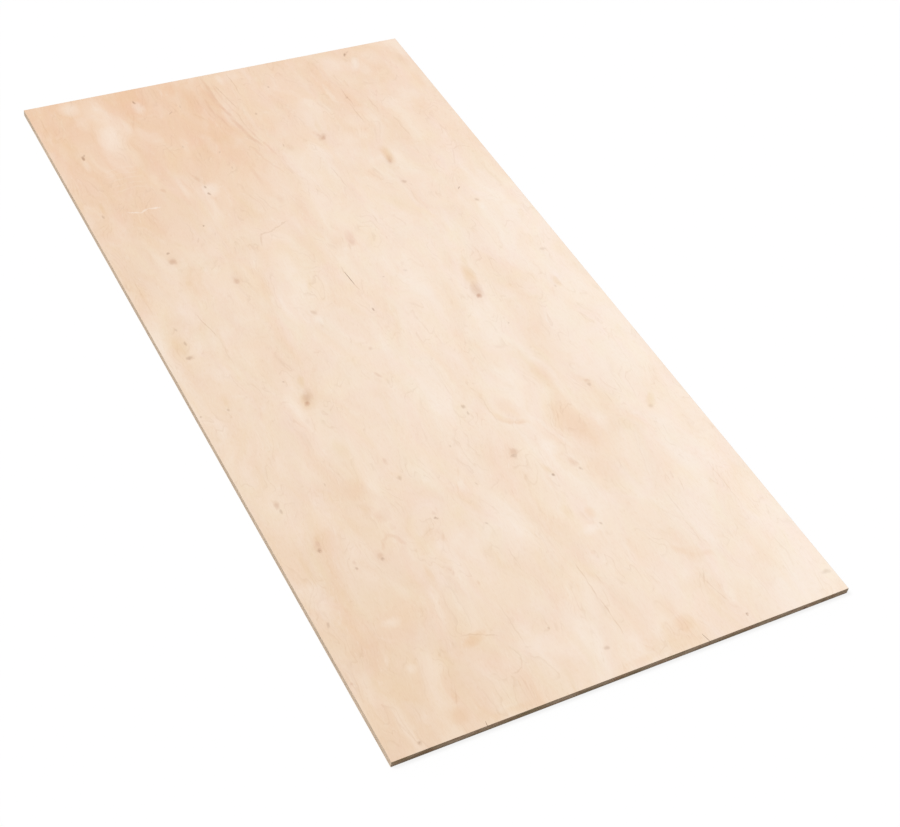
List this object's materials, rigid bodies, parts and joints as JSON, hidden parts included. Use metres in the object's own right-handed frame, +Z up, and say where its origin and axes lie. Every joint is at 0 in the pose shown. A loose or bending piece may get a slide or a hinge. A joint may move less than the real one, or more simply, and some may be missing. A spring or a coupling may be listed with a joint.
{
  "type": "plywood sheet",
  "caption": "Full flat rectangular sheet of pale birch plywood with square sawn laminated edges and lightly eased rims.",
  "frame": {"origin": "centre of the underside, on the floor that the sheet lies on", "axes": "+Z up through the thickness, +Y along the length and the face grain, +X across the width"},
  "size_m": [1.22, 2.44, 0.018],
  "materials": {
    "birch_veneer": "sanded, bare"
  },
  "bodies": {
    "root": {"plywood_sheet": "birch_veneer"}
  },
  "joints": []
}
